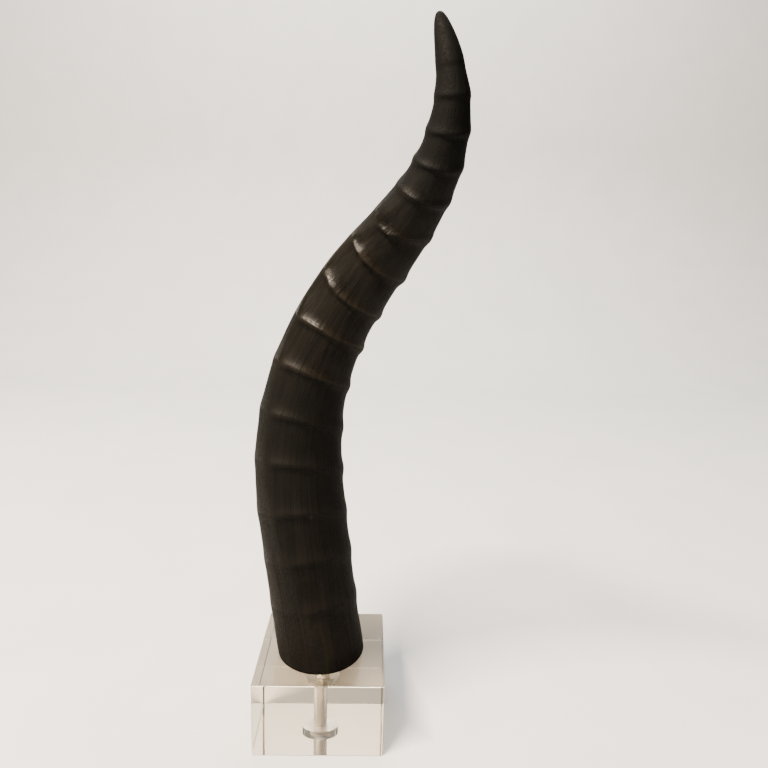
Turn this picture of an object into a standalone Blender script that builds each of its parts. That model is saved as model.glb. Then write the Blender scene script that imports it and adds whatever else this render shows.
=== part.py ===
"""A natural horn with cup-like growth rings, standing on a square block of clear acrylic.

Units are metres, +Z is up, and the block's underside is z = 0. The horn is one solid. It starts as a
straight turned form, gets its rings, keel and section, and is then bent along its centreline. A
metal rod goes up through the block into the horn, with a round disc in a recess under the block.
The whole is moved at the end so that its box is centred on x = y = 0.
"""

import math

import bmesh
import bpy
import numpy as np
from mathutils import Vector

GAP = 0.0003

BLOCK_WIDTH = 0.100
BLOCK_HEIGHT = 0.059
BLOCK_CORNER_RADIUS = 0.0025
BLOCK_EDGE_CHAMFER = 0.0006

ROD_DIAMETER = 0.010
ROD_INTO_HORN = 0.040
DISC_DIAMETER = 0.026
DISC_THICKNESS = 0.0028
RECESS_DIAMETER = 0.0285
RECESS_DEPTH = DISC_THICKNESS + 2 * GAP

# The horn's centreline, from its sawn base to its tip, over the middle of the block.
CENTRELINE = [
    (-0.0015, 0.0010, 0.0593),
    (-0.0130, 0.0030, 0.139),
    (-0.0205, 0.0070, 0.213),
    (-0.0107, 0.0050, 0.285),
    (0.0190, -0.0080, 0.346),
    (0.0535, -0.0325, 0.395),
    (0.0742, -0.0545, 0.4335),
    (0.0790, -0.0685, 0.468),
    (0.0690, -0.0700, 0.5135),
]

# Each growth ring: how far its lip is along the horn from the base, the lip's radius, the depth of the
# hollow below it, and how much higher the lip runs on the horn's outer side and on its front.
RINGS = [
    (0.044, 0.0351, 0.0020, 0.001, 0.0080),
    (0.081, 0.0354, 0.0022, 0.002, 0.0085),
    (0.118, 0.0356, 0.0024, 0.006, 0.0090),
    (0.157, 0.0351, 0.0024, 0.008, 0.0080),
    (0.194, 0.0333, 0.0026, 0.007, 0.0070),
    (0.232, 0.0311, 0.0028, 0.004, 0.0060),
    (0.266, 0.0289, 0.0030, 0.002, 0.0050),
    (0.298, 0.0272, 0.0030, 0.000, 0.0045),
    (0.3325, 0.0249, 0.0029, -0.001, 0.0040),
    (0.365, 0.0218, 0.0026, -0.004, 0.0000),
    (0.391, 0.0190, 0.0023, -0.005, 0.0005),
    (0.412, 0.0166, 0.0020, -0.005, 0.0010),
    (0.432, 0.0142, 0.0018, -0.003, 0.0010),
    (0.452, 0.0112, 0.0014, 0.000, 0.0000),
    (0.4685, 0.0083, 0.0006, 0.000, 0.0000),
]
HORN_LENGTH = 0.498
BASE_RADIUS = 0.0341
TIP_BLUNTNESS = 0.45
HORN_SIDES = 32
# Where the turned profile has its points: distances below the first lip, shares of the way from one
# lip to the next, and shares of the way from the last lip to the tip.
FOOT_DISTANCES = (0.0, 0.010, 0.020, 0.030, 0.0385, 0.0415)
RING_STEPS = (0.0, 0.06, 0.20, 0.45, 0.88, 0.95)
TIP_STEPS = (0.0, 0.2, 0.4, 0.6, 0.75, 0.87, 0.95, 0.985)
FLARE_ENDS_AT = 0.45
LEDGE_STARTS_AT = 0.88

# The blunt lengthwise keel winds from the front of the horn towards its outer side.
KEEL_ANGLES = [
    (0.000, -10.0),
    (0.045, 2.0),
    (0.080, 11.0),
    (0.118, 21.0),
    (0.158, 28.0),
    (0.200, 35.0),
    (0.235, 41.0),
    (0.266, 50.0),
    (0.300, 58.0),
    (0.361, 44.0),
    (0.420, 40.0),
    (0.498, 40.0),
]
KEEL_HEIGHT = 0.035
KEEL_WIDTH = math.radians(16.0)
TRIANGLE_SHARE = 0.035
SECTION_DEPTH = 1.10
SECTION_GROWS_BY = 0.090
SECTION_FADES = (0.34, 0.43)

# How strong the rings are on the outer side, at distances along the horn, beside 1.0 on the front.
# The outer side and the back are ranges of the angle past the keel, in degrees.
OUTER_STRENGTH = [(0.0, 0.55), (0.23, 0.45), (0.27, 0.10), (0.36, 0.10), (0.41, 0.9), (0.498, 0.9)]
BACK_STRENGTH = 0.60
OUTER_SIDE = (14.0, 110.0)
BACK_SIDE = (150.0, 190.0)
FRONT_FROM = 230.0

ROD_SIDES = 24
DISC_SIDES = 48
CURVE_STEPS = 400
DIRECTION_STEP = 0.0005
ON_AXIS = 1e-6
CUT_BEYOND = 0.010
HORN_SHARP_ANGLE = 50.0

HORN_COLOUR = (0.016, 0.011, 0.008)
ACRYLIC_COLOUR = (0.93, 0.92, 0.89)
METAL_COLOUR = (0.62, 0.60, 0.56)


def smooth(value):
    """An even rise from 0 to 1 as the value goes from 0 to 1."""
    value = min(max(value, 0.0), 1.0)
    return value * value * (3.0 - 2.0 * value)


def spline(distances, values):
    """A natural cubic spline through the values, as a function of the distance."""
    x = np.asarray(distances, float)
    y = np.asarray(values, float)
    y = y.reshape(len(x), -1)
    step = np.diff(x)
    slope = np.diff(y, axis=0) / step[:, None]
    matrix = np.eye(len(x))
    right = np.zeros_like(y)
    for i in range(1, len(x) - 1):
        matrix[i, i - 1 : i + 2] = step[i - 1], 2.0 * (step[i - 1] + step[i]), step[i]
        right[i] = 6.0 * (slope[i] - slope[i - 1])
    bend = np.linalg.solve(matrix, right)

    def at(distance):
        i = int(np.clip(np.searchsorted(x, distance) - 1, 0, len(x) - 2))
        before = x[i + 1] - distance
        after = distance - x[i]
        cubic = (bend[i] * before**3 + bend[i + 1] * after**3) / (6.0 * step[i])
        from_start = (y[i] / step[i] - bend[i] * step[i] / 6.0) * before
        from_end = (y[i + 1] / step[i] - bend[i + 1] * step[i] / 6.0) * after
        return cubic + from_start + from_end

    return at


def centreline():
    """Two functions of the distance along the horn: the point there, and the direction there."""
    points = np.array(CENTRELINE)
    chords = np.linalg.norm(np.diff(points, axis=0), axis=1)
    knots = np.concatenate([[0.0], np.cumsum(chords)])
    curve = spline(knots, points)
    fine = np.linspace(0.0, knots[-1], CURVE_STEPS)
    walk = np.array([curve(t) for t in fine])
    length = np.concatenate([[0.0], np.cumsum(np.linalg.norm(np.diff(walk, axis=0), axis=1))])
    scale = length[-1] / HORN_LENGTH

    def point(distance):
        return Vector(curve(np.interp(distance * scale, length, fine)))

    def direction(distance):
        return (point(distance + DIRECTION_STEP) - point(distance - DIRECTION_STEP)).normalized()

    return point, direction


DISTANCES = [0.0] + [ring[0] for ring in RINGS] + [HORN_LENGTH]
HOLLOWS = [ring[2] for ring in RINGS]
LIP_RADIUS = spline([0.0] + [ring[0] for ring in RINGS], [BASE_RADIUS] + [ring[1] for ring in RINGS])
LIP_SLANT = spline(DISTANCES, [(0.0, 0.0)] + [(ring[3], ring[4]) for ring in RINGS] + [(0.0, 0.0)])
KEEL_ANGLE = spline([keel[0] for keel in KEEL_ANGLES], [math.radians(keel[1]) for keel in KEEL_ANGLES])


def envelope(distance):
    """The radius that the lips reach at this distance, closing to a blunt tip."""
    last = RINGS[-1][0]
    if distance <= last:
        return float(LIP_RADIUS(distance)[0])
    left = max(HORN_LENGTH - distance, 0.0) / (HORN_LENGTH - last)
    return RINGS[-1][1] * left**TIP_BLUNTNESS


def hollow(distance):
    """How far the surface lies inside the envelope: it flares out to each lip, and steps in under it."""
    above = int(np.clip(np.searchsorted(DISTANCES, distance, side="right"), 1, len(DISTANCES) - 1))
    if above > len(HOLLOWS):
        return 0.0
    lower, upper = DISTANCES[above - 1], DISTANCES[above]
    share = (distance - lower) / (upper - lower)
    flare = 1.0 - max(1.0 - share / FLARE_ENDS_AT, 0.0) ** 2
    if above == 1:
        flare = smooth(share)
    ledge = smooth((share - LEDGE_STARTS_AT) / (1.0 - LEDGE_STARTS_AT))
    return HOLLOWS[above - 1] * flare * (1.0 - ledge)


def ring_strength(distance, angle):
    """1 on the front of the horn, less past the keel on its outer side, and some of it on the back."""
    past_keel = math.degrees((angle - float(KEEL_ANGLE(distance)[0])) % (2.0 * math.pi))
    outer = float(np.interp(distance, *zip(*OUTER_STRENGTH)))
    angles = [0.0, *OUTER_SIDE, *BACK_SIDE, FRONT_FROM, 360.0]
    return float(np.interp(past_keel, angles, [1.0, outer, outer, BACK_STRENGTH, BACK_STRENGTH, 1.0, 1.0]))


def section(distance, angle):
    """The section's shape beside an oval: a rounded triangle with the keel as one blunt corner."""
    grown = smooth(distance / SECTION_GROWS_BY)
    kept = 1.0 - smooth((distance - SECTION_FADES[0]) / (SECTION_FADES[1] - SECTION_FADES[0]))
    from_keel = (angle - float(KEEL_ANGLE(distance)[0]) + math.pi) % (2.0 * math.pi) - math.pi
    keel = KEEL_HEIGHT * math.exp(-((from_keel / KEEL_WIDTH) ** 2))
    triangle = TRIANGLE_SHARE * math.cos(3.0 * from_keel)
    return 1.0 + grown * kept * (triangle + keel)


def placed(distance, angle, share, point, direction):
    """Where a point of the straight turned form goes on the bent horn; the share is 0 on the axis."""
    slant, rise = LIP_SLANT(distance)
    along = (0.5 * slant * math.sin(angle) + rise * math.cos(angle)) * share
    forward = direction(distance)
    front = Vector((0.0, -1.0, 0.0))
    front = (front - forward * front.dot(forward)).normalized()
    outer = front.cross(forward)
    radius = envelope(distance) * section(distance, angle)
    radius = (radius - hollow(distance) * ring_strength(distance, angle)) * share
    across = outer * (radius * math.sin(angle)) + front * (radius * SECTION_DEPTH * math.cos(angle))
    spot = point(distance) + forward * along + across
    level = 1.0 - smooth(distance / RINGS[0][0])
    spot += forward * ((point(0.0).z - spot.z + distance * forward.z) / forward.z * level)
    return spot


def new_material(name, colour, roughness, metallic=0.0, transmission=0.0, ior=1.5):
    material = bpy.data.materials.new(name)
    material.use_nodes = True
    shader = material.node_tree.nodes["Principled BSDF"]
    shader.inputs["Base Color"].default_value = (*colour, 1.0)
    shader.inputs["Roughness"].default_value = roughness
    shader.inputs["Metallic"].default_value = metallic
    shader.inputs["Transmission Weight"].default_value = transmission
    shader.inputs["IOR"].default_value = ior
    return material


def new_object(name, mesh, collection, material=None):
    piece = bpy.data.objects.new(name, mesh)
    collection.objects.link(piece)
    if material:
        mesh.materials.append(material)
    return piece


def new_cylinder(name, radius, low, high, sides, collection, material=None):
    """An upright cylinder on the z axis, from z = low to z = high."""
    form = bmesh.new()
    bmesh.ops.create_cone(form, cap_ends=True, segments=sides, radius1=radius, radius2=radius, depth=high - low)
    bmesh.ops.translate(form, verts=form.verts, vec=(0.0, 0.0, (low + high) / 2.0))
    mesh = bpy.data.meshes.new(name)
    form.to_mesh(mesh)
    form.free()
    return new_object(name, mesh, collection, material)


def cut(piece, cutter):
    modifier = piece.modifiers.new("cut " + cutter.name, "BOOLEAN")
    modifier.operation = "DIFFERENCE"
    modifier.solver = "EXACT"
    modifier.object = cutter


def shade_round(mesh, limit_degrees=35.0):
    mesh.shade_smooth()
    mesh.set_sharp_from_angle(angle=math.radians(limit_degrees))


def profile_distances():
    """Distances along the horn at which the turned profile has a point."""
    found = list(FOOT_DISTANCES)
    for lower, upper in zip(DISTANCES[1:-2], DISTANCES[2:-1]):
        found += [lower + (upper - lower) * step for step in RING_STEPS]
    last = DISTANCES[-2]
    tip = HORN_LENGTH - last
    found += [last + tip * step for step in TIP_STEPS]
    return found


def build_horn(collection, material):
    """A straight turned form, each of its points then placed on the bent and ringed horn."""
    profile = bmesh.new()
    outline = [(0.0, HORN_LENGTH)]
    outline += [(envelope(distance), distance) for distance in reversed(profile_distances())]
    outline += [(0.0, 0.0)]
    spots = [profile.verts.new((radius, 0.0, distance)) for radius, distance in outline]
    for first, second in zip(spots, spots[1:]):
        profile.edges.new((first, second))
    mesh = bpy.data.meshes.new("turned profile")
    profile.to_mesh(mesh)
    profile.free()
    turned = new_object("turned form", mesh, collection)
    screw = turned.modifiers.new("turn", "SCREW")
    screw.steps = HORN_SIDES
    screw.render_steps = HORN_SIDES
    screw.use_merge_vertices = True
    screw.merge_threshold = 0.00001
    graph = bpy.context.evaluated_depsgraph_get()
    straight = bpy.data.meshes.new_from_object(turned.evaluated_get(graph))
    bpy.data.objects.remove(turned)

    point, direction = centreline()
    for vertex in straight.vertices:
        x, y, distance = vertex.co
        reach = math.hypot(x, y)
        share = 0.0 if reach < ON_AXIS else 1.0
        vertex.co = placed(distance, math.atan2(-x, -y), share, point, direction)
    straight.name = "horn"
    shade_round(straight, HORN_SHARP_ANGLE)
    return new_object("horn", straight, collection, material)


def build_block(collection, material):
    form = bmesh.new()
    bmesh.ops.create_cube(form, size=1.0)
    bmesh.ops.scale(form, verts=form.verts, vec=(BLOCK_WIDTH, BLOCK_WIDTH, BLOCK_HEIGHT))
    bmesh.ops.translate(form, verts=form.verts, vec=(0.0, 0.0, BLOCK_HEIGHT / 2.0))
    corners = [edge for edge in form.edges if abs(edge.verts[0].co.z - edge.verts[1].co.z) > BLOCK_HEIGHT / 2.0]
    bmesh.ops.bevel(form, geom=corners, offset=BLOCK_CORNER_RADIUS, segments=3, profile=0.5, affect="EDGES")
    rims = [edge for edge in form.edges if abs(edge.verts[0].co.z - edge.verts[1].co.z) < ON_AXIS]
    bmesh.ops.bevel(form, geom=rims, offset=BLOCK_EDGE_CHAMFER, segments=1, profile=0.5, affect="EDGES")
    mesh = bpy.data.meshes.new("acrylic_block")
    form.to_mesh(mesh)
    form.free()
    shade_round(mesh)
    return new_object("acrylic_block", mesh, collection, material)


def centre_on_floor(pieces):
    """Moves all the pieces alike, so that the box around them is centred on x = y = 0."""
    bpy.context.view_layer.update()
    graph = bpy.context.evaluated_depsgraph_get()
    corners = []
    for piece in pieces:
        shape = piece.evaluated_get(graph)
        corners += [shape.matrix_world @ vertex.co for vertex in shape.data.vertices]
    middle_x = (min(c.x for c in corners) + max(c.x for c in corners)) / 2.0
    middle_y = (min(c.y for c in corners) + max(c.y for c in corners)) / 2.0
    for piece in bpy.data.objects:
        piece.location -= Vector((middle_x, middle_y, 0.0))


def main():
    for old in list(bpy.data.objects):
        bpy.data.objects.remove(old, do_unlink=True)
    parts = bpy.data.collections.new("mounted horn")
    cutters = bpy.data.collections.new("cutters")
    bpy.context.scene.collection.children.link(parts)
    bpy.context.scene.collection.children.link(cutters)

    horn_stuff = new_material("polished horn", HORN_COLOUR, 0.35)
    acrylic = new_material("clear acrylic", ACRYLIC_COLOUR, 0.02, transmission=1.0, ior=1.49)
    metal = new_material("satin metal", METAL_COLOUR, 0.35, metallic=1.0)

    horn = build_horn(parts, horn_stuff)
    block = build_block(parts, acrylic)
    rod_top = BLOCK_HEIGHT + ROD_INTO_HORN
    rod = new_cylinder("mounting_rod", ROD_DIAMETER / 2.0, RECESS_DEPTH, rod_top, ROD_SIDES, parts, metal)
    disc = new_cylinder("foot_disc", DISC_DIAMETER / 2.0, GAP, GAP + DISC_THICKNESS, DISC_SIDES, parts, metal)
    shade_round(rod.data)
    shade_round(disc.data)

    hole = ROD_DIAMETER / 2.0 + GAP
    rod_hole = new_cylinder("rod hole", hole, -CUT_BEYOND, rod_top + GAP, ROD_SIDES, cutters)
    recess = new_cylinder("disc recess", RECESS_DIAMETER / 2.0, -CUT_BEYOND, RECESS_DEPTH, DISC_SIDES, cutters)
    for cutter in (rod_hole, recess):
        cutter.hide_render = True
        cutter.display_type = "WIRE"
    cut(horn, rod_hole)
    cut(block, rod_hole)
    cut(block, recess)
    centre_on_floor([horn, block, rod, disc])


main()
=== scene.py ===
"""A mounted horn, dressed for its picture: waxed horn, a cast acrylic block, and a turned metal rod.

Places are in metres from the middle of the block's underside, +Z up, and -Y is the front. The horn is
pulled up straight from its base circle, and each of its points is then set on the bent, ringed horn.
Angles round the horn are 0 at its front and grow towards its outer side, which is -X.
"""

import math

import bpy
import numpy as np
from mathutils import Matrix, Vector, noise


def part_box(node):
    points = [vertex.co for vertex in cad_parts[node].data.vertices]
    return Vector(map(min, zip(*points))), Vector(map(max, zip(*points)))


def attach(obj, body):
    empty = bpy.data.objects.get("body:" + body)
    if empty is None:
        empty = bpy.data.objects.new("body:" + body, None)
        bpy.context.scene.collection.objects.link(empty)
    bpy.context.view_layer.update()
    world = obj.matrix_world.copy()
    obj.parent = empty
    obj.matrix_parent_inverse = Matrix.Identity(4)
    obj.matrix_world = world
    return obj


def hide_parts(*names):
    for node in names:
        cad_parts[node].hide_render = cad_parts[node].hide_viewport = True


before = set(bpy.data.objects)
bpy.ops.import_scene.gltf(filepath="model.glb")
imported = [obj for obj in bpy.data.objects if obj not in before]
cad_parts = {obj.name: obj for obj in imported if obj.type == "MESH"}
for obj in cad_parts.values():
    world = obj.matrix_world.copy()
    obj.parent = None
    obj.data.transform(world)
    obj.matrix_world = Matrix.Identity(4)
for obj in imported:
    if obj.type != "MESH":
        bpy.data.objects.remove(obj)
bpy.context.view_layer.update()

MM = 0.001
# Too small to matter, and larger than any rounding of a place.
NEARLY_NOTHING = 1e-6
# The air round the rod in its holes, and over the disc in its recess.
GAP = 0.0003

# The horn's centreline from its sawn base to its tip.
CENTRELINE = [
    (-0.0015, 0.0010, 0.0593),
    (-0.0130, 0.0030, 0.139),
    (-0.0205, 0.0070, 0.213),
    (-0.0107, 0.0050, 0.285),
    (0.0190, -0.0080, 0.346),
    (0.0535, -0.0325, 0.395),
    (0.0742, -0.0545, 0.4335),
    (0.0790, -0.0680, 0.468),
    (0.0690, -0.0696, 0.5132),
]
HORN_LENGTH = 0.498
BASE_RADIUS = 0.0341
TIP_BLUNTNESS = 0.45

# Each growth ring: how far its lip is along the horn, the lip's radius, the depth of the hollow below
# it, and how much higher the lip runs on the horn's outer side and on its front.
RINGS = [
    (0.044, 0.0351, 0.0020, 0.001, 0.0080),
    (0.081, 0.0354, 0.0022, 0.002, 0.0085),
    (0.118, 0.0356, 0.0024, 0.006, 0.0090),
    (0.157, 0.0351, 0.0024, 0.008, 0.0080),
    (0.194, 0.0333, 0.0026, 0.007, 0.0070),
    (0.232, 0.0311, 0.0028, 0.004, 0.0060),
    (0.266, 0.0289, 0.0030, 0.002, 0.0050),
    (0.298, 0.0272, 0.0030, 0.000, 0.0045),
    (0.3325, 0.0249, 0.0029, -0.001, 0.0040),
    (0.365, 0.0218, 0.0026, -0.004, 0.0000),
    (0.391, 0.0190, 0.0023, -0.005, 0.0005),
    (0.412, 0.0166, 0.0020, -0.005, 0.0010),
    (0.432, 0.0142, 0.0018, -0.003, 0.0010),
    (0.452, 0.0112, 0.0014, 0.000, 0.0000),
    (0.4685, 0.0083, 0.0006, 0.000, 0.0000),
]
LIPS = [0.0] + [ring[0] for ring in RINGS] + [HORN_LENGTH]

# A ring flares out towards the lip at its foot, and under the next lip the surface steps in.
FLARE_ENDS_AT = 0.55
FLARE_POWER = 4.0
LEDGE_STARTS_AT = 0.85

# Most tables below give a value at distances along the horn, and those of angles are in degrees.
# Handling has worn the lips round: how far the wear reaches each way along the horn.
LIP_WEAR = [
    (0.0, 0.0024),
    (0.20, 0.0018),
    (0.26, 0.0012),
    (0.40, 0.0011),
    (0.46, 0.0009),
    (0.498, 0.0009),
]
# The wear grows by these shares away from the keel.
WEAR_TURNS = [(-180.0, 2.4), (-110.0, 2.4), (-55.0, 1.0), (15.0, 1.0), (70.0, 2.4), (180.0, 2.4)]
WEAR_STEPS = (-1.8, -1.2, -0.6, 0.0, 0.6, 1.2, 1.8)
# What the wear takes off the lips is given back by this much all over.
LIP_FULLNESS = 0.0004

# The lips are painted paler on the horn's middle: partly wear, and partly a painted highlight along the
# lips that catch the light there.
PALE_LIPS_WEAR_AND_HIGHLIGHT = [(0.0, 0.2), (0.18, 0.3), (0.23, 1.0), (0.35, 1.0), (0.40, 0.0), (0.498, 0.0)]
LIP_WIDTH = 0.0045
UNDER_LIP_WIDTH = LIP_WIDTH / 4.0
# The horn is darker below its middle and towards its tip.
DARKNESS = [(0.0, 0.0), (0.06, 0.15), (0.13, 0.55), (0.21, 0.7), (0.24, 0.0), (0.33, 0.0), (0.42, 0.95)]
# Hands have polished the horn above its lips, most on its middle and on the front's outer half.
POLISH_REACH = 0.013
POLISH = [(0.0, 0.15), (0.18, 0.30), (0.26, 0.85), (0.29, 1.0), (0.38, 1.0), (0.43, 0.0)]
POLISH_ANGLES = [(-180.0, 0.0), (-75.0, 0.0), (-30.0, 1.0), (60.0, 1.0), (84.0, 0.15), (180.0, 0.0)]
# From here to its end the tip is worn pale.
WORN_TIP_FROM = 0.4960

# The lips of the middle rings aren't level: they run this many millimetres nearer the tip, at distances
# along the horn, and at angles from the front towards the outer side.
SHIFT_ANGLES = (-180.0, -90.0, -52.0, -10.0, 13.0, 32.0, 50.0, 61.0, 100.0, 180.0)
LIP_SHIFTS = [
    (0.2320, (0.0, 0.0, 0.0, 0.5, 0.5, 0.5, 0.5, 0.0, 0.0, 0.0)),
    (0.2660, (0.0, 1.0, 3.2, 2.6, 2.6, 2.4, 2.0, 2.0, 0.0, 0.0)),
    (0.2980, (0.0, 0.0, 1.2, 1.0, 1.5, 3.5, 7.0, 9.0, 4.0, 0.0)),
    (0.3325, (0.0, 0.0, 0.5, 0.0, 0.8, 3.0, 5.6, 6.5, 3.0, 0.0)),
    (0.3650, (0.0, 0.5, 2.8, 0.8, -2.2, -1.5, 0.5, 1.5, 1.0, 0.0)),
    (0.3910, (0.0, 0.0, 0.0, 0.0, 0.0, 0.0, 0.0, 0.0, 0.0, 0.0)),
]

# Where a lip nears the keel from the front it bulges out into a boss.
BOSS_HEIGHTS = [
    (0.0, 0.0),
    (0.20, 0.0002),
    (0.266, 0.0008),
    (0.298, 0.0012),
    (0.365, 0.0012),
    (0.41, 0.0),
]
BOSS_TURN = math.radians(-27.0)
BOSS_WIDTH = math.radians(30.0)
BOSS_LENGTH = 0.011

# The blunt lengthwise keel winds from the front of the horn towards its outer side.
KEEL_ANGLES = [
    (0.000, -10.0),
    (0.045, 2.0),
    (0.080, 11.0),
    (0.118, 21.0),
    (0.158, 28.0),
    (0.200, 35.0),
    (0.235, 41.0),
    (0.266, 50.0),
    (0.300, 60.0),
    (0.3325, 50.0),
    (0.365, 34.0),
    (0.391, 26.0),
    (0.430, 24.0),
    (0.498, 24.0),
]
KEEL_HEIGHTS = [(0.0, 0.050), (0.262, 0.050), (0.285, 0.022), (0.36, 0.012), (0.498, 0.0)]
KEEL_WIDTH = math.radians(13.0)
# The section is a rounded triangle, deeper than wide. It grows out of the base's oval, and fades
# between two distances towards the tip.
TRIANGLE_SHARE = 0.035
SECTION_DEPTH = 1.10
SECTION_GROWS_BY = 0.090
SECTION_FADES = (0.34, 0.43)

# How strong the rings are: 1 on the front, less on the outer side and the back, in degrees past the keel.
OUTER_STRENGTH = [(0.0, 0.45), (0.20, 0.40), (0.26, 0.04), (0.37, 0.04), (0.405, 1.0), (0.498, 1.1)]
BACK_STRENGTH = 0.60
OUTER_SIDE = (14.0, 110.0)
BACK_SIDE = (150.0, 190.0)
FRONT_FROM = 230.0
FRONT_ENDS_BEFORE_KEEL = math.radians(9.0)

# A natural lip isn't a true circle: it waves by this much, in patches of this size.
LIP_WAVE = 0.00035
LIP_WAVE_PATCH = 0.016
WAVES_FADE_OVER = 0.03
# A chip under the third lip shows the paler horn inside.
NICK_PLACE = 0.1155
NICK_ANGLE = math.radians(-20.0)
NICK_WIDTH = 0.0011

# The stations the horn is pulled up by, and the fineness that subdividing then gives it.
HORN_SIDES = 40
HORN_SUBDIVISIONS = 2
BASE_STATIONS = (0.0, 0.002, 0.010, 0.020, 0.030, 0.0375, 0.0405, 0.0425)
RING_STATIONS = (0.0, 0.05, 0.13, 0.28, 0.50, 0.78, 0.90, 0.96)
TIP_STATIONS = (0.0, 0.12, 0.3, 0.5, 0.7, 0.84, 0.93, 0.975, 0.994)
# A point this share of the way out, or more, is on the horn's side and not on an end.
ON_SIDE_FROM = 0.97
# The steps by which the centreline's direction and length are measured.
DIRECTION_STEP = 0.0005
CURVE_STEPS = 400

# The block's corners are a little sharper than the solid's, so that they bend less light.
BLOCK_CORNER_RADIUS = 0.0016
BLOCK_CORNER_STEPS = 6
BLOCK_EDGE_ROUND = 0.0005
EDGE_STEPS = 3
ROD_RADIUS = 0.005
METAL_EDGE_ROUND = 0.0004
RECESS_RADIUS = 0.01425
# The disc's seat, which a cutter has faced a hair deeper than the rest of the recess and left matt.
SEAT_RADIUS = 0.0130
SEAT_DEPTH = 0.00003
CUTTER_REACHES_PAST = 0.01
ROUND_SIDES = 96

# How wide the marks of each pattern are, in millimetres.
FIBRE_WIDTH = 0.714286
STREAK_WIDTH = 3.125
PATCH_WIDTH = 20.8333
RUB_WIDTH = 0.666667
SMEAR_WIDTH = 16.6667
FEED_WIDTH = 0.625
LATHE_RING_WIDTH = 0.4
MOTTLE_WIDTH = 111.111
# Fibres and streaks are this many times as long as they are wide.
FIBRE_STRETCH = 40.0
# How much rougher the horn is where no hand has polished it.
UNPOLISHED_ROUGHNESS = 0.52
# The sockets of a Mix node for colours: its factor, the colour below, the one over it, and the result.
FACTOR, UNDER, OVER, MIXED = 0, 6, 7, 2

# The polished underside stands on the paper with a film of air between them.
PAPER_GAP = 0.0003
PAPER_WIDTH = 4.2
PAPER_NARROWED = 0.8
PAPER_CURVE = 0.8
PAPER_CURVE_STEPS = 16

# The camera, from the middle of the block's underside.
CAMERA_PLACE = Vector((0.0328, -0.4711, 0.3723))
CAMERA_YAW = -0.0252
CAMERA_PITCH = 0.1945
CAMERA_ROLL = 0.0258
CAMERA_LENS_MM = 29.82
CAMERA_SENSOR_MM = 36.0
CAMERA_SEES_FROM = 0.01

# The lights: their places and targets from the middle of the block's underside, width, height, power
# and colour. The key is a long thin strip up to the left, and the other lights the paper behind.
LIGHTS = [
    ("key", (-0.93, -0.90, 1.92), (0.0, 0.0, 0.25), 1.10, 0.045, 410.0, "#ffeed8"),
    ("backdrop", (0.0, 1.5, 2.6), (0.0, 2.0, 0.2), 1.6, 1.6, 175.0, "#ffffff"),
]
ROOM_COLOUR = "#f4f4f2"
ROOM_STRENGTH = 0.28


def hex_colour(code):
    """An sRGB hex colour as the linear colour that a shader takes."""
    shares = [int(code[i : i + 2], 16) / 255.0 for i in (1, 3, 5)]
    linear = [s / 12.92 if s <= 0.04045 else ((s + 0.055) / 1.055) ** 2.4 for s in shares]
    return (*linear, 1.0)


def marks_wide(millimetres):
    """The scale that gives a noise pattern marks of this width."""
    return 1.0 / (millimetres * MM)


def add_node(material, kind, values=(), links=(), stops=(), **settings):
    """Adds one node with its settings, its socket values, the links into it and its ramp's stops."""
    tree = material.node_tree
    new = tree.nodes.new(kind)
    for name, value in settings.items():
        setattr(new, name, value)
    for socket, value in dict(values).items():
        new.inputs[socket].default_value = value
    for socket, source in dict(links).items():
        tree.links.new(source, new.inputs[socket])
    for place, colour in stops:
        element = new.color_ramp.elements.new(place)
        element.color = hex_colour(colour)
    if stops:
        new.color_ramp.elements.remove(new.color_ramp.elements[0])
        new.color_ramp.elements.remove(new.color_ramp.elements[-1])
    return new


def new_material(name, typical):
    """A material with one Principled shader, whose sockets take the values typical of the real one.
    Patterns may then drive some of these sockets."""
    material = bpy.data.materials.new(name)
    material.use_nodes = True
    shader = material.node_tree.nodes["Principled BSDF"]
    for socket, value in typical.items():
        shader.inputs[socket].default_value = value
    return material, shader


def drive(material, node, socket, source):
    """Links a pattern to one socket of a node that is already there."""
    material.node_tree.links.new(source, node.inputs[socket])


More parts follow.
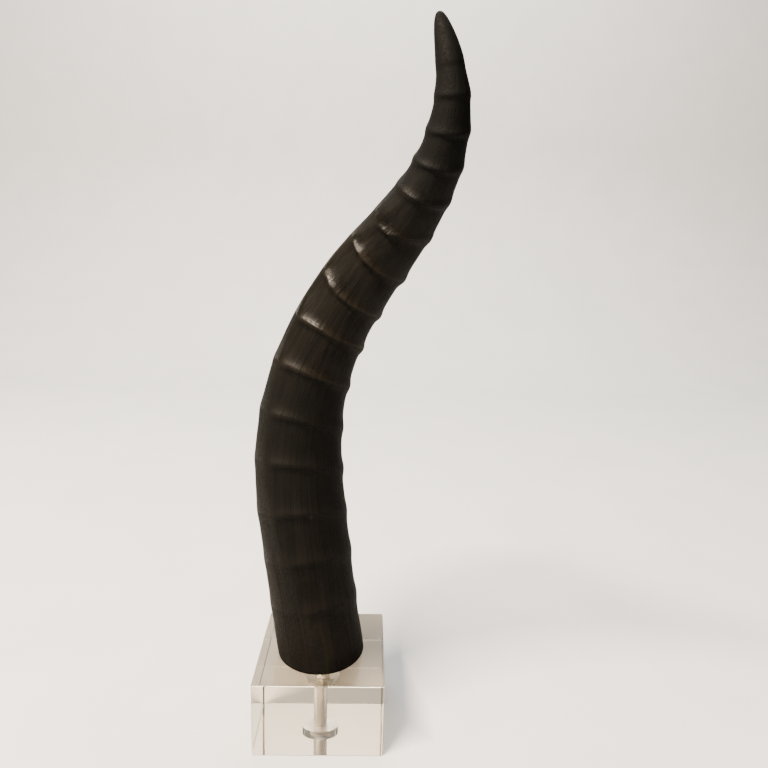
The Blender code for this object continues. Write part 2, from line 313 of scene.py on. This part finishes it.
def waxed_horn():
    """Horn is keratin laid down in long fibres. Sanded and waxed it is brown-black with a soft shine;
    the fibres show as fine lengthwise streaks, and it is paler where worn thin at the tip. Its middle
    lips are painted paler, partly wear and partly a painted highlight."""
    typical = {"Roughness": 0.34, "IOR": 1.54, "Specular IOR Level": 0.04}
    material, shader = new_material("waxed horn", typical)
    straight = add_node(material, "ShaderNodeAttribute", attribute_name="straight").outputs["Vector"]
    lip, worn, dull, dark = [
        add_node(material, "ShaderNodeAttribute", attribute_name=name).outputs["Fac"]
        for name in ("lip", "worn", "dull", "dark")
    ]

    # Fibres about 0.7 mm wide and 30 mm long, and broader streaks about 3 mm wide.
    stretched = add_node(
        material,
        "ShaderNodeMapping",
        values={"Scale": (1.0, 1.0, 1.0 / FIBRE_STRETCH)},
        links={"Vector": straight},
    ).outputs["Vector"]
    fibres = add_node(
        material,
        "ShaderNodeTexNoise",
        values={"Scale": marks_wide(FIBRE_WIDTH), "Detail": 4.0},
        links={"Vector": stretched},
    ).outputs["Fac"]
    streaks = add_node(
        material,
        "ShaderNodeTexNoise",
        values={"Scale": marks_wide(STREAK_WIDTH), "Detail": 3.0},
        links={"Vector": stretched},
    ).outputs["Fac"]
    # Cloudy patches about 20 mm across.
    patches = add_node(
        material,
        "ShaderNodeTexNoise",
        values={"Scale": marks_wide(PATCH_WIDTH), "Detail": 3.0},
        links={"Vector": straight},
    ).outputs["Fac"]

    body = add_node(
        material,
        "ShaderNodeValToRGB",
        links={"Fac": streaks},
        stops=[(0.30, "#0b0b09"), (0.50, "#11100d"), (0.72, "#191612")],
    ).outputs["Color"]
    fibre_tint = add_node(
        material,
        "ShaderNodeValToRGB",
        links={"Fac": fibres},
        stops=[(0.32, "#6f6961"), (0.55, "#9f978d"), (0.74, "#cfc7bb")],
    ).outputs["Color"]
    surface = add_node(
        material,
        "ShaderNodeMix",
        data_type="RGBA",
        blend_type="MULTIPLY",
        values={FACTOR: 0.8},
        links={UNDER: body, OVER: fibre_tint},
    ).outputs[MIXED]
    cloudy = add_node(
        material,
        "ShaderNodeMapRange",
        values={"From Min": 0.42, "From Max": 0.70, "To Max": 0.45},
        links={"Value": patches},
    ).outputs["Result"]
    pale_lip_wear_and_highlight = add_node(
        material, "ShaderNodeMath", operation="MULTIPLY", links={0: lip, 1: streaks}
    ).outputs["Value"]
    # Over the fibres lie the cloudy patches, the pale lips (partly wear, partly a painted highlight), the
    # worn tip and chip, and the dark stretches.
    for share, colour in (
        (cloudy, "#110f0c"),
        (pale_lip_wear_and_highlight, "#1c1813"),
        (worn, "#2c251c"),
        (dark, "#060605"),
    ):
        surface = add_node(
            material,
            "ShaderNodeMix",
            data_type="RGBA",
            values={OVER: hex_colour(colour)},
            links={FACTOR: share, UNDER: surface},
        ).outputs[MIXED]
    drive(material, shader, "Base Color", surface)

    # Fine rubbing marks run across the fibres, about 0.7 mm wide, coarse enough to show.
    turned = add_node(
        material,
        "ShaderNodeMapping",
        values={"Rotation": (0.5, 0.3, 0.2), "Scale": (0.12, 1.0, 1.0)},
        links={"Vector": straight},
    ).outputs["Vector"]
    rubbed = add_node(
        material,
        "ShaderNodeTexNoise",
        values={"Scale": marks_wide(RUB_WIDTH), "Detail": 2.0},
        links={"Vector": turned},
    ).outputs["Fac"]
    rough = add_node(
        material,
        "ShaderNodeMapRange",
        values={"From Min": 0.35, "From Max": 0.70, "To Min": 0.10, "To Max": 0.42},
        links={"Value": rubbed},
    ).outputs["Result"]
    dulled = add_node(
        material,
        "ShaderNodeMath",
        operation="MULTIPLY_ADD",
        use_clamp=True,
        values={1: UNPOLISHED_ROUGHNESS},
        links={0: dull, 2: rough},
    ).outputs["Value"]
    drive(material, shader, "Roughness", dulled)

    fibre_relief = add_node(
        material,
        "ShaderNodeBump",
        values={"Strength": 1.0, "Distance": 0.30 * MM},
        links={"Height": fibres},
    ).outputs["Normal"]
    streak_relief = add_node(
        material,
        "ShaderNodeBump",
        values={"Strength": 0.6, "Distance": 0.60 * MM},
        links={"Height": streaks, "Normal": fibre_relief},
    ).outputs["Normal"]
    rub_relief = add_node(
        material,
        "ShaderNodeBump",
        values={"Strength": 0.35, "Distance": 0.08 * MM},
        links={"Height": rubbed, "Normal": streak_relief},
    ).outputs["Normal"]
    drive(material, shader, "Normal", rub_relief)
    return material


def clear_plastic(name, roughness):
    """What both finishes of the acrylic start from: a clear material, its shader, and its places."""
    typical = {"Roughness": roughness, "IOR": 1.49, "Transmission Weight": 1.0}
    material, shader = new_material(name, {**typical, "Base Color": hex_colour("#ffffff")})
    place = add_node(material, "ShaderNodeTexCoord").outputs["Object"]
    return material, shader, place


def cast_acrylic():
    """Cast acrylic is clear with a faint warm cast in the thick, and polished on all sides, with a few
    dull smears, about 17 mm across, where it has been handled."""
    material, shader, place = clear_plastic("cast acrylic", 0.0)
    smears = add_node(
        material,
        "ShaderNodeTexNoise",
        values={"Scale": marks_wide(SMEAR_WIDTH), "Detail": 5.0},
        links={"Vector": place},
    ).outputs["Fac"]
    rough = add_node(
        material,
        "ShaderNodeMapRange",
        values={"From Min": 0.55, "From Max": 0.75, "To Min": 0.0, "To Max": 0.10},
        links={"Value": smears},
    ).outputs["Result"]
    drive(material, shader, "Roughness", rough)
    thick = add_node(
        material,
        "ShaderNodeVolumeAbsorption",
        values={"Color": hex_colour("#efe6d4"), "Density": 18.0},
    ).outputs["Volume"]
    drive(material, material.node_tree.nodes["Material Output"], "Volume", thick)
    return material


def matt_acrylic():
    """Where a cutter has bored the acrylic and it isn't polished after, it is frosted and looks white,
    with feed marks about 0.6 mm apart round the bore."""
    material, shader, place = clear_plastic("bored acrylic", 0.45)
    flat = add_node(
        material, "ShaderNodeMapping", values={"Scale": (0.1, 0.1, 1.0)}, links={"Vector": place}
    ).outputs["Vector"]
    feed = add_node(
        material,
        "ShaderNodeTexNoise",
        values={"Scale": marks_wide(FEED_WIDTH), "Detail": 1.0},
        links={"Vector": flat},
    ).outputs["Fac"]
    rough = add_node(
        material,
        "ShaderNodeMapRange",
        values={"From Min": 0.3, "From Max": 0.7, "To Min": 0.35, "To Max": 0.60},
        links={"Value": feed},
    ).outputs["Result"]
    drive(material, shader, "Roughness", rough)
    return material


def turned_steel():
    """Bright steel bar, turned on a lathe: fine rings round the bar, about 0.4 mm apart, drawn so that
    they show, and a soft shine."""
    material, shader = new_material("turned steel", {"Metallic": 1.0, "Roughness": 0.28})
    place = add_node(material, "ShaderNodeTexCoord").outputs["Object"]
    flat = add_node(
        material, "ShaderNodeMapping", values={"Scale": (0.05, 0.05, 1.0)}, links={"Vector": place}
    ).outputs["Vector"]
    rings = add_node(
        material,
        "ShaderNodeTexNoise",
        values={"Scale": marks_wide(LATHE_RING_WIDTH), "Detail": 2.0},
        links={"Vector": flat},
    ).outputs["Fac"]
    colour = add_node(
        material,
        "ShaderNodeValToRGB",
        links={"Fac": rings},
        stops=[(0.3, "#b9b5ae"), (0.7, "#dcd8d1")],
    ).outputs["Color"]
    drive(material, shader, "Base Color", colour)
    rough = add_node(
        material,
        "ShaderNodeMapRange",
        values={"From Min": 0.3, "From Max": 0.7, "To Min": 0.22, "To Max": 0.38},
        links={"Value": rings},
    ).outputs["Result"]
    drive(material, shader, "Roughness", rough)
    relief = add_node(
        material,
        "ShaderNodeBump",
        values={"Strength": 0.3, "Distance": 0.05 * MM},
        links={"Height": rings},
    ).outputs["Normal"]
    drive(material, shader, "Normal", relief)
    return material


def matt_paper():
    """Seamless pale grey background paper, matt and very faintly mottled."""
    material, shader = new_material("matt paper", {"Roughness": 0.9})
    place = add_node(material, "ShaderNodeTexCoord").outputs["Object"]
    mottle = add_node(
        material,
        "ShaderNodeTexNoise",
        values={"Scale": marks_wide(MOTTLE_WIDTH), "Detail": 2.0},
        links={"Vector": place},
    ).outputs["Fac"]
    colour = add_node(
        material,
        "ShaderNodeValToRGB",
        links={"Fac": mottle},
        stops=[(0.3, "#b1b0af"), (0.7, "#b5b4b3")],
    ).outputs["Color"]
    drive(material, shader, "Base Color", colour)
    return material


def smooth(value):
    """An even rise from 0 to 1 as the value goes from 0 to 1."""
    value = np.clip(value, 0.0, 1.0)
    return value * value * (3.0 - 2.0 * value)


def hump(offset, width):
    """1 where the offset is nothing, falling away evenly on both sides of it."""
    return np.exp(-((offset / width) ** 2))


def at_places(table, places):
    """A table of (place, value) rows, read at an array of places."""
    return np.interp(places, [row[0] for row in table], [row[1] for row in table])


def spline(distances, values):
    """A natural cubic spline through the values, as a function of an array of distances."""
    x = np.asarray(distances, float)
    y = np.asarray(values, float).reshape(len(x), -1)
    step = np.diff(x)
    slope = np.diff(y, axis=0) / step[:, None]
    matrix = np.eye(len(x))
    right = np.zeros_like(y)
    for i in range(1, len(x) - 1):
        matrix[i, i - 1 : i + 2] = step[i - 1], 2.0 * (step[i - 1] + step[i]), step[i]
        right[i] = 6.0 * (slope[i] - slope[i - 1])
    bend = np.linalg.solve(matrix, right)

    def at(distance):
        i = np.clip(np.searchsorted(x, distance) - 1, 0, len(x) - 2)
        before = (x[i + 1] - distance)[:, None]
        after = (distance - x[i])[:, None]
        width = step[i][:, None]
        cubic = (bend[i] * before**3 + bend[i + 1] * after**3) / (6.0 * width)
        from_start = (y[i] / width - bend[i] * width / 6.0) * before
        from_end = (y[i + 1] / width - bend[i + 1] * width / 6.0) * after
        return cubic + from_start + from_end

    return at


def unit(vectors):
    return vectors / np.linalg.norm(vectors, axis=1)[:, None]


def centreline_points(distance):
    """Points on the centreline at an array of distances along the horn."""
    points = np.array(CENTRELINE)
    chords = np.linalg.norm(np.diff(points, axis=0), axis=1)
    knots = np.concatenate([[0.0], np.cumsum(chords)])
    curve = spline(knots, points)
    fine = np.linspace(0.0, knots[-1], CURVE_STEPS)
    walk = curve(fine)
    length = np.concatenate([[0.0], np.cumsum(np.linalg.norm(np.diff(walk, axis=0), axis=1))])
    return curve(np.interp(distance * length[-1] / HORN_LENGTH, length, fine))


def horn_directions(distance):
    """At each distance, which way is on towards the tip, to the horn's front, and to its outer side."""
    ahead = centreline_points(np.minimum(distance + DIRECTION_STEP, HORN_LENGTH))
    behind = centreline_points(np.maximum(distance - DIRECTION_STEP, 0.0))
    forward = unit(ahead - behind)
    front = np.array([[0.0, -1.0, 0.0]])
    front = unit(front - forward * (forward @ front[0])[:, None])
    return forward, front, np.cross(front, forward)


def angle_round(straight):
    """Each point's angle round the straight horn."""
    return np.arctan2(-straight[:, 0], -straight[:, 1])


def lip_radius(distance):
    """The radius that the lips reach, closing to a blunt tip."""
    last, last_radius = RINGS[-1][:2]
    lips = spline(LIPS[:-1], [BASE_RADIUS] + [ring[1] for ring in RINGS])(distance)[:, 0]
    left = np.clip((HORN_LENGTH - distance) / (HORN_LENGTH - last), 0.0, 1.0)
    return np.where(distance <= last, lips, last_radius * left**TIP_BLUNTNESS)


def ring_place(distance):
    """For each distance: which ring it is in, counted from the base, and the ring's two lips. A point
    on a lip is in the ring below it."""
    ring = np.searchsorted(LIPS, distance - NEARLY_NOTHING, side="right") - 1
    ring = np.clip(ring, 0, len(RINGS))
    return ring, np.array(LIPS)[ring], np.array(LIPS)[ring + 1]


def hollow_depth(distance):
    """How far the surface lies inside the lips: it flares out to each lip, and steps in under it."""
    ring, lower, upper = ring_place(distance)
    share = (distance - lower) / (upper - lower)
    depth = np.array([row[2] for row in RINGS] + [0.0])[ring]
    flare = 1.0 - np.clip(1.0 - share / FLARE_ENDS_AT, 0.0, 1.0) ** FLARE_POWER
    flare = np.where(ring == 0, smooth(share), flare)
    ledge = smooth((share - LEDGE_STARTS_AT) / (1.0 - LEDGE_STARTS_AT))
    return depth * flare * (1.0 - ledge)


def worn_hollow(distance, turn):
    """The hollows with their lips worn round: the depth averaged over the reach of the wear."""
    reach = at_places(LIP_WEAR, distance) * at_places(WEAR_TURNS, np.degrees(turn))
    weights = np.exp(-0.5 * np.array(WEAR_STEPS) ** 2)
    total = np.zeros_like(distance)
    for step, weight in zip(WEAR_STEPS, weights):
        total += weight * hollow_depth(np.clip(distance + step * reach, 0.0, HORN_LENGTH))
    return total / weights.sum() - LIP_FULLNESS


def keel_angle(distance):
    places = [keel[0] for keel in KEEL_ANGLES]
    return spline(places, [math.radians(keel[1]) for keel in KEEL_ANGLES])(distance)[:, 0]


def past_keel(distance, angle):
    """How far past the keel an angle is: from -180 to 180 degrees, in radians."""
    return (angle - keel_angle(distance) + math.pi) % (2.0 * math.pi) - math.pi


def ring_strength(distance, angle):
    """1 on the front of the horn, less past the keel on its outer side, and some of it on the back."""
    past = np.degrees((angle - keel_angle(distance) + FRONT_ENDS_BEFORE_KEEL) % (2.0 * math.pi))
    outer_share = np.interp(past, [0.0, *OUTER_SIDE, BACK_SIDE[0], 360.0], [0.0, 1.0, 1.0, 0.0, 0.0])
    rest_places = [OUTER_SIDE[1], *BACK_SIDE, FRONT_FROM]
    rest = np.interp(past, rest_places, [0.0, BACK_STRENGTH, BACK_STRENGTH, 1.0])
    rest = np.where(past < OUTER_SIDE[0], 1.0 - outer_share, rest)
    return at_places(OUTER_STRENGTH, distance) * outer_share + rest


def lip_boss(distance, turn):
    """How far a lip bulges out beside the keel."""
    ring, lower, _ = ring_place(distance)
    along = hump(distance - lower, BOSS_LENGTH) * (ring > 0)
    return at_places(BOSS_HEIGHTS, distance) * along * hump(turn - BOSS_TURN, BOSS_WIDTH)


def lip_shift(distance, degrees):
    """How much nearer the tip the surface lies than on a level ring."""
    places = [row[0] for row in LIP_SHIFTS]
    shifts = [np.interp(distance, places, column) for column in zip(*[row[1] for row in LIP_SHIFTS])]
    columns = np.array(shifts)
    angles = np.array(SHIFT_ANGLES)
    i = np.clip(np.searchsorted(angles, degrees) - 1, 0, len(angles) - 2)
    share = smooth((degrees - angles[i]) / (angles[i + 1] - angles[i]))
    points = np.arange(len(distance))
    return (columns[i, points] * (1.0 - share) + columns[i + 1, points] * share) * MM


def section(distance, turn):
    """The section's shape beside an oval: a rounded triangle with the keel as one blunt corner."""
    kept = 1.0 - smooth((distance - SECTION_FADES[0]) / (SECTION_FADES[1] - SECTION_FADES[0]))
    keel = at_places(KEEL_HEIGHTS, distance) * hump(turn, KEEL_WIDTH)
    corners = TRIANGLE_SHARE * np.cos(3.0 * turn) + keel
    return 1.0 + smooth(distance / SECTION_GROWS_BY) * kept * corners


def lip_waves(straight):
    """A small uneven offset for each point of the straight horn, with none at its base or tip."""
    distance = np.clip(straight[:, 2], 0.0, HORN_LENGTH)
    waves = np.array([noise.noise(Vector(point) / LIP_WAVE_PATCH) for point in straight]) * LIP_WAVE
    return waves * smooth(distance / LIPS[1]) * smooth((HORN_LENGTH - distance) / WAVES_FADE_OVER)


def bent_places(straight):
    """Where the points of the straight horn go on the bent one, with its base kept level."""
    distance = np.clip(straight[:, 2], 0.0, HORN_LENGTH)
    angle = angle_round(straight)
    turn = past_keel(distance, angle)
    reach = lip_radius(distance)
    inside = np.hypot(straight[:, 0], straight[:, 1])
    share = np.clip(inside / np.maximum(reach, NEARLY_NOTHING), 0.0, 1.0)

    slants = [(0.0, 0.0)] + [(row[3], row[4]) for row in RINGS] + [(0.0, 0.0)]
    slant, rise = spline(LIPS, slants)(distance).T
    along = 0.5 * slant * np.sin(angle) + rise * np.cos(angle)
    along += lip_shift(distance, np.degrees(angle))
    hollow = worn_hollow(distance, turn) * ring_strength(distance, angle)
    radius = reach * section(distance, turn) - hollow
    radius = (radius + lip_waves(straight) + lip_boss(distance, turn)) * share

    middle = centreline_points(distance)
    forward, front, outer = horn_directions(distance)
    spot = middle + forward * (along * share)[:, None]
    spot += outer * (radius * np.sin(angle))[:, None]
    spot += front * (radius * SECTION_DEPTH * np.cos(angle))[:, None]
    level = 1.0 - smooth(distance / LIPS[1])
    rise_left = (middle[0, 2] - spot[:, 2] + distance * forward[:, 2]) / forward[:, 2]
    return spot + forward * (rise_left * level)[:, None]


def horn_finish(straight):
    """What the horn's material reads at each point: how pale its lip is, and how worn, dull and dark."""
    distance = straight[:, 2]
    angle = angle_round(straight)
    ring, lower, upper = ring_place(distance)
    over_lip = hump(distance - lower, LIP_WIDTH) * (ring > 0)
    under_lip = hump(upper - distance, UNDER_LIP_WIDTH) * (ring < len(RINGS))
    lip = np.maximum(over_lip, under_lip)
    polish = hump(distance - lower, POLISH_REACH) * (ring > 0)
    polish *= at_places(POLISH, distance) * at_places(POLISH_ANGLES, np.degrees(angle))
    tip = smooth((distance - WORN_TIP_FROM) / (HORN_LENGTH - WORN_TIP_FROM))
    from_nick = np.hypot((angle - NICK_ANGLE) * BASE_RADIUS, distance - NICK_PLACE)
    # The lips' paleness is partly wear and partly a painted highlight on the middle lips.
    return {
        "lip": lip * ring_strength(distance, angle) * at_places(PALE_LIPS_WEAR_AND_HIGHLIGHT, distance),
        "worn": np.maximum(tip, hump(from_nick, NICK_WIDTH)),
        "dull": 1.0 - polish,
        "dark": at_places(DARKNESS, distance),
    }


def deselect_all():
    bpy.ops.object.select_all(action="DESELECT")


def work_on(piece):
    """Makes one piece the only selected one, and the active one."""
    deselect_all()
    piece.select_set(True)
    bpy.context.view_layer.objects.active = piece


def edit_edges(piece, wanted):
    """Goes into edit mode with only those edges selected whose two ends pass a test."""
    bpy.ops.object.mode_set(mode="EDIT")
    bpy.ops.mesh.select_mode(type="EDGE")
    bpy.ops.mesh.select_all(action="DESELECT")
    bpy.ops.object.mode_set(mode="OBJECT")
    for edge in piece.data.edges:
        edge.select = wanted(*[piece.data.vertices[i].co for i in edge.vertices])
    bpy.ops.object.mode_set(mode="EDIT")


def apply_modifier(piece, kind, **settings):
    work_on(piece)
    modifier = piece.modifiers.new(kind.lower(), kind)
    for name, value in settings.items():
        setattr(modifier, name, value)
    bpy.ops.object.modifier_apply(modifier=modifier.name)


def upright_round(radius, low, high, centre):
    """A plain upright cylinder from one height to another."""
    deselect_all()
    bpy.ops.mesh.primitive_cylinder_add(
        vertices=ROUND_SIDES,
        radius=radius,
        depth=high - low,
        location=(*centre, (low + high) / 2.0),
    )
    return bpy.context.object


def cut_round(piece, radius, low, high, centre):
    """Cuts an upright round hole into the piece, from one height to another."""
    cutter = upright_round(radius, low, high, centre)
    apply_modifier(piece, "BOOLEAN", operation="DIFFERENCE", solver="EXACT", object=cutter)
    bpy.data.objects.remove(cutter)


def finish_piece(piece, name, material, sharp_degrees):
    """Puts the piece's place into its mesh, smooths it, and hands it to the frame."""
    work_on(piece)
    bpy.ops.object.transform_apply(location=True, rotation=True, scale=True)
    bpy.ops.object.shade_smooth_by_angle(angle=math.radians(sharp_degrees))
    piece.name = name
    piece.data.name = name
    piece.data.materials.clear()
    piece.data.materials.append(material)
    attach(piece, "root")


def horn_stations():
    """The distances along the horn at which it is given a ring of points."""
    found = list(BASE_STATIONS)
    for lower, upper in zip(LIPS[1:-2], LIPS[2:-1]):
        found += [lower + (upper - lower) * share for share in RING_STATIONS]
    found += [LIPS[-2] + (HORN_LENGTH - LIPS[-2]) * share for share in TIP_STATIONS]
    return np.array(found)


def pulled_up_horn():
    """The horn pulled up straight from its base circle, station by station, and subdivided."""
    stations = horn_stations()
    reach = lip_radius(stations)
    deselect_all()
    bpy.ops.mesh.primitive_circle_add(
        vertices=HORN_SIDES, radius=reach[0], fill_type="NGON", location=(0.0, 0.0, 0.0)
    )
    horn = bpy.context.object
    bpy.ops.object.mode_set(mode="EDIT")
    bpy.ops.mesh.select_all(action="SELECT")
    for i in range(1, len(stations)):
        lift = {"value": (0.0, 0.0, stations[i] - stations[i - 1])}
        bpy.ops.mesh.extrude_region_move(TRANSFORM_OT_translate=lift)
        growth = reach[i] / reach[i - 1]
        bpy.ops.transform.resize(value=(growth, growth, 1.0), center_override=(0.0, 0.0, stations[i]))
    bpy.ops.mesh.select_all(action="SELECT")
    bpy.ops.mesh.normals_make_consistent(inside=False)
    bpy.ops.object.mode_set(mode="OBJECT")
    apply_modifier(
        horn,
        "SUBSURF",
        subdivision_type="SIMPLE",
        levels=HORN_SUBDIVISIONS,
        render_levels=HORN_SUBDIVISIONS,
    )
    return horn


def rounded_again(straight):
    """The subdivided horn's points, with those on its flat sides moved out to the round."""
    reach = lip_radius(np.clip(straight[:, 2], 0.0, HORN_LENGTH))
    inside = np.hypot(straight[:, 0], straight[:, 1])
    on_side = inside > reach * ON_SIDE_FROM
    straight[on_side, :2] *= (reach / np.maximum(inside, NEARLY_NOTHING))[on_side][:, None]
    return straight


def write_attribute(mesh, name, kind, field, values):
    """Keeps a value at each point of the mesh, for its material."""
    layer = mesh.attributes.new(name, kind, "POINT")
    layer.data.foreach_set(field, values.astype(np.float32).ravel())


def dressed_horn(centre, rod_top):
    """The horn pulled up straight, set on its bent shape, and drilled for its rod."""
    horn = pulled_up_horn()
    mesh = horn.data
    straight = rounded_again(np.array([vertex.co[:] for vertex in mesh.vertices]))
    places = bent_places(straight) + np.array([[*centre, 0.0]])
    mesh.vertices.foreach_set("co", places.astype(np.float32).ravel())
    write_attribute(mesh, "straight", "FLOAT_VECTOR", "vector", straight)
    for name, values in horn_finish(straight).items():
        write_attribute(mesh, name, "FLOAT", "value", values)
    mesh.update()
    cut_round(horn, ROD_RADIUS + GAP, 0.0, rod_top + GAP, centre)
    finish_piece(horn, "ringed_horn", waxed_horn(), sharp_degrees=50.0)
    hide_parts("horn")


def dressed_block(centre, low, high):
    """A cube at the block's size, its corners and edges rounded, drilled and recessed from below."""
    size = high - low
    deselect_all()
    bpy.ops.mesh.primitive_cube_add(size=1.0, location=(low + high) / 2.0, scale=size)
    block = bpy.context.object
    work_on(block)
    bpy.ops.object.transform_apply(location=True, rotation=True, scale=True)
    edit_edges(block, lambda one, other: abs(one.z - other.z) > size.z / 2.0)
    bpy.ops.mesh.bevel(offset=BLOCK_CORNER_RADIUS, segments=BLOCK_CORNER_STEPS, affect="EDGES")
    bpy.ops.object.mode_set(mode="OBJECT")
    apply_modifier(block, "BEVEL", width=BLOCK_EDGE_ROUND, segments=EDGE_STEPS, limit_method="ANGLE")
    below = low.z - CUTTER_REACHES_PAST
    disc_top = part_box("foot_disc")[1].z
    cut_round(block, ROD_RADIUS + GAP, below, high.z + CUTTER_REACHES_PAST, centre)
    cut_round(block, RECESS_RADIUS, below, disc_top + GAP, centre)
    cut_round(block, SEAT_RADIUS, below, disc_top + GAP + SEAT_DEPTH, centre)
    finish_piece(block, "clear_block", cast_acrylic(), sharp_degrees=30.0)
    # The faces stay flat to the light beside their rounded edges.
    apply_modifier(block, "WEIGHTED_NORMAL", mode="FACE_AREA", weight=100, keep_sharp=True)
    block.data.materials.append(matt_acrylic())
    for face in block.data.polygons:
        reach = math.hypot(face.center.x - centre[0], face.center.y - centre[1])
        in_bore = low.z + GAP < face.center.z < high.z - GAP and reach < SEAT_RADIUS
        face.material_index = 1 if in_bore else 0
    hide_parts("acrylic_block")


def dressed_metal(centre):
    """The rod and the disc at its foot, turned bars with their edges just broken."""
    steel = turned_steel()
    for node, name in (("mounting_rod", "turned_rod"), ("foot_disc", "turned_disc")):
        low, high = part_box(node)
        piece = upright_round((high.x - low.x) / 2.0, low.z, high.z, centre)
        apply_modifier(
            piece, "BEVEL", width=METAL_EDGE_ROUND, segments=EDGE_STEPS, limit_method="ANGLE"
        )
        finish_piece(piece, name, steel, sharp_degrees=30.0)
        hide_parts(node)


def paper_sweep(centre):
    """Background paper: flat under the object, and curving up well behind it."""
    deselect_all()
    bpy.ops.mesh.primitive_plane_add(size=PAPER_WIDTH, location=(*centre, -PAPER_GAP))
    paper = bpy.context.object
    edit_edges(paper, lambda one, other: min(one.y, other.y) > 0.0)
    rise = {"value": (0.0, 0.0, PAPER_WIDTH / 2.0)}
    bpy.ops.mesh.extrude_region_move(TRANSFORM_OT_translate=rise)
    bpy.ops.mesh.select_all(action="SELECT")
    bpy.ops.transform.resize(value=(PAPER_NARROWED, 1.0, 1.0), center_override=(*centre, 0.0))
    bpy.ops.object.mode_set(mode="OBJECT")
    apply_modifier(paper, "BEVEL", width=PAPER_CURVE, segments=PAPER_CURVE_STEPS, limit_method="ANGLE")
    bpy.ops.object.shade_smooth()
    paper.name = "paper_sweep"
    paper.data.materials.append(matt_paper())


def soft_light(name, place, target, width, height, watts, colour):
    """A soft box at a place, level and turned towards a target."""
    bpy.ops.object.light_add(type="AREA", location=place)
    light = bpy.context.object
    light.name = name
    light.data.shape = "RECTANGLE"
    light.data.size = width
    light.data.size_y = height
    light.data.energy = watts
    light.data.color = hex_colour(colour)[:3]
    light.rotation_euler = (target - place).to_track_quat("-Z", "Y").to_euler()


def studio(centre):
    """A camera at the picture's viewing angle, a strip light from the upper left, a soft light on the
    paper behind, and a pale room."""
    middle = Vector((*centre, 0.0))
    bpy.ops.object.camera_add()
    camera = bpy.context.object
    camera.data.lens = CAMERA_LENS_MM
    camera.data.sensor_width = CAMERA_SENSOR_MM
    camera.data.clip_start = CAMERA_SEES_FROM
    yaw = Matrix.Rotation(CAMERA_YAW, 4, "Z")
    pitch = Matrix.Rotation(math.pi / 2.0 - CAMERA_PITCH, 4, "X")
    roll = Matrix.Rotation(CAMERA_ROLL, 4, "Z")
    camera.matrix_world = Matrix.Translation(middle + CAMERA_PLACE) @ yaw @ pitch @ roll
    bpy.context.scene.camera = camera

    for name, place, target, *look in LIGHTS:
        soft_light(name, middle + Vector(place), middle + Vector(target), *look)

    world = bpy.data.worlds.new("pale room")
    bpy.context.scene.world = world
    world.use_nodes = True
    background = world.node_tree.nodes["Background"]
    background.inputs["Color"].default_value = hex_colour(ROOM_COLOUR)
    background.inputs["Strength"].default_value = ROOM_STRENGTH


def main():
    low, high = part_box("acrylic_block")
    centre = ((low.x + high.x) / 2.0, (low.y + high.y) / 2.0)
    dressed_horn(centre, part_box("mounting_rod")[1].z)
    dressed_block(centre, Vector(low), Vector(high))
    dressed_metal(centre)
    paper_sweep(centre)
    studio(centre)


main()
